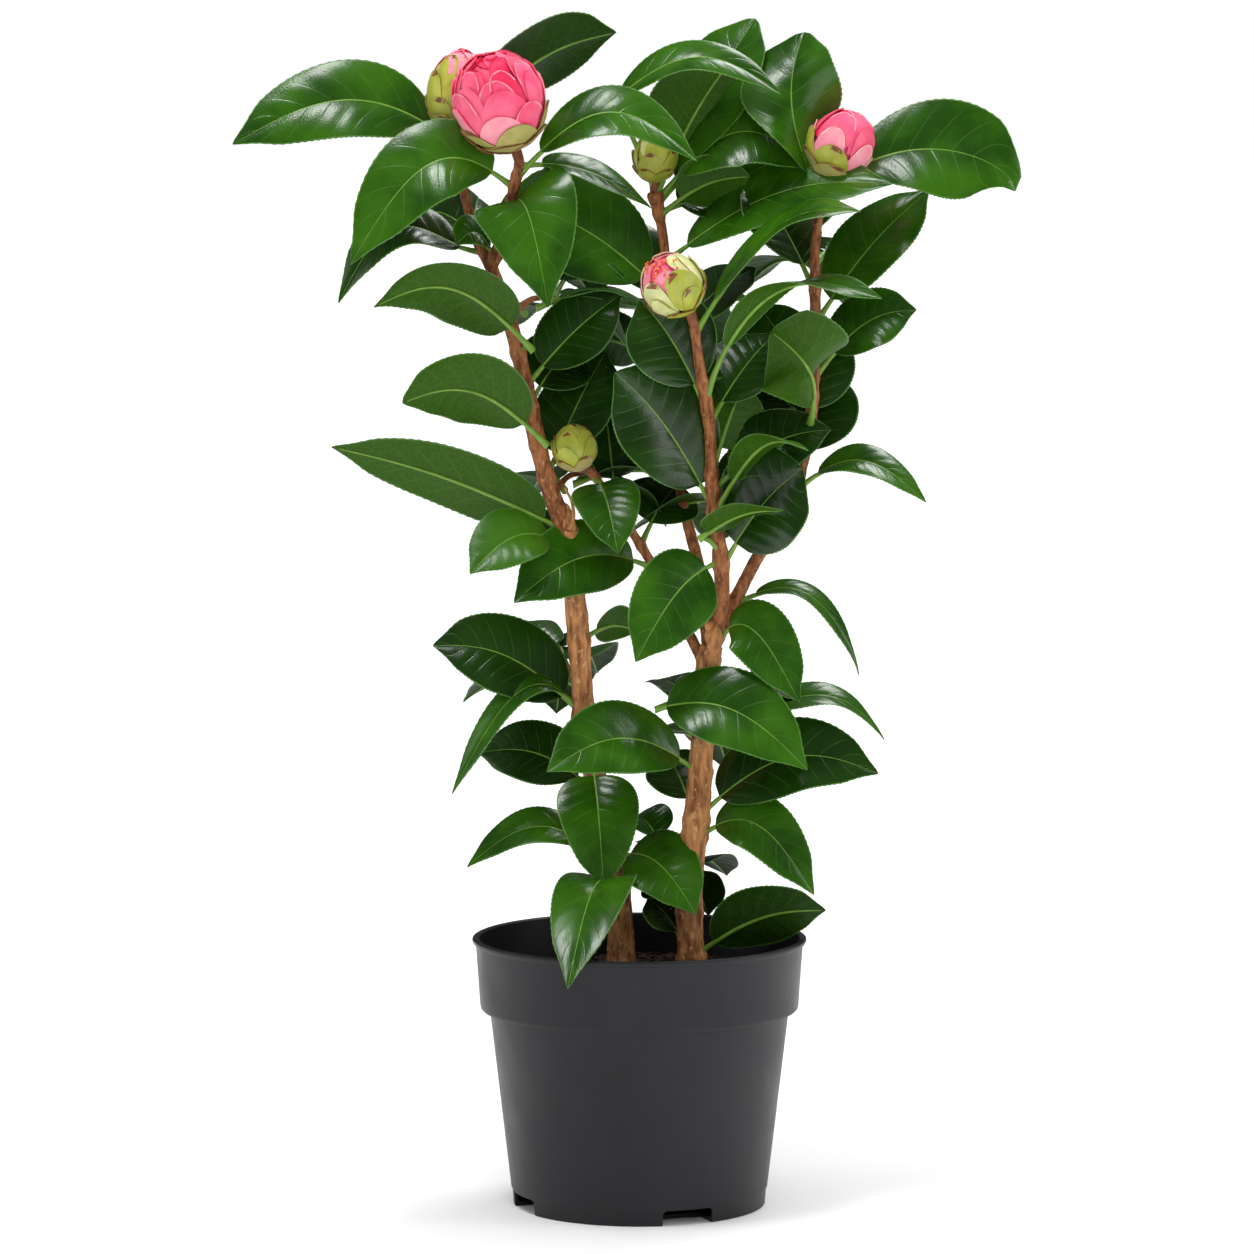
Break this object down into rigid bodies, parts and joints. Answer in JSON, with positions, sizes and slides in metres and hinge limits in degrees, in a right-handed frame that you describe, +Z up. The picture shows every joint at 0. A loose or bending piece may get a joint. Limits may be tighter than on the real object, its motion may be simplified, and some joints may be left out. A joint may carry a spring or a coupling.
{
  "type": "potted camellia shrub",
  "caption": "Young camellia shrub in bud, on woody stems, with glossy evergreen leaves, growing in a round plastic nursery pot.",
  "frame": {"origin": "on the pot's axis, at the level that the pot stands on", "axes": "+Z up along the plant, +X to the right of the view, +Y to its back"},
  "size_m": [0.3931, 0.2061, 0.6018],
  "materials": {
    "pot_plastic": "satin, moulded",
    "compost": "crumbly, moist",
    "trunk_bark": "fissured bark",
    "young_bark": "smooth young bark",
    "foliage": "glossy leaf"
  },
  "bodies": {
    "root": {"pot": "pot_plastic", "soil": "compost", "left_stem": "trunk_bark", "left_upper_shoot": "young_bark", "left_tip_shoot": "young_bark", "pink_bud_shoot": "young_bark", "right_stem": "trunk_bark", "leader": "young_bark", "right_bough": "young_bark", "middle_bough": "young_bark", "back_bough": "young_bark", "leaves_far_left": "foliage", "leaves_top_left_back": "foliage", "leaves_left_arch": "foliage", "leaves_top_bridge": "foliage", "leaves_left_shoulder": "foliage", "leaves_left_fold": "foliage", "leaves_left_lobe": "foliage", "leaves_left_inner": "foliage", "leaves_left_mid": "foliage", "leaves_left_wing": "foliage", "leaves_left_knot": "foliage", "leaves_centre_left": "foliage", "leaves_middle": "foliage", "leaves_centre_large": "foliage", "leaves_centre_upper": "foliage", "leaves_leader_top": "foliage", "leaves_right_ribbon": "foliage", "leaves_centre_right": "foliage", "leaves_right_round": "foliage", "leaves_centre_hanging": "foliage", "leaves_back_left": "foliage", "leaves_back_ribbon": "foliage", "leaves_top_centre": "foliage", "leaves_top_shelf": "foliage", "leaves_back_middle": "foliage", "leaves_right_top": "foliage", "leaves_far_right": "foliage", "leaves_right_upper": "foliage", "leaves_right_mid": "foliage", "leaves_right_inner": "foliage", "leaves_right_tip": "foliage", "leaves_right_arch": "foliage", "leaves_right_low": "foliage", "leaves_right_front": "foliage", "leaves_right_skirt": "foliage", "leaves_right_rim": "foliage", "leaves_left_low": "foliage", "leaves_left_shade": "foliage", "leaves_cross": "foliage", "leaves_left_foot": "foliage", "leaves_over_rim": "foliage", "leaves_behind_left_top": "foliage", "leaves_behind_left_middle": "foliage", "leaves_behind_left_low": "foliage", "leaves_behind_foot": "foliage", "leaves_behind_centre": "foliage", "leaves_behind_right_low": "foliage", "leaves_behind_right_middle": "foliage", "leaves_behind_right_top": "foliage"}
  },
  "joints": []
}
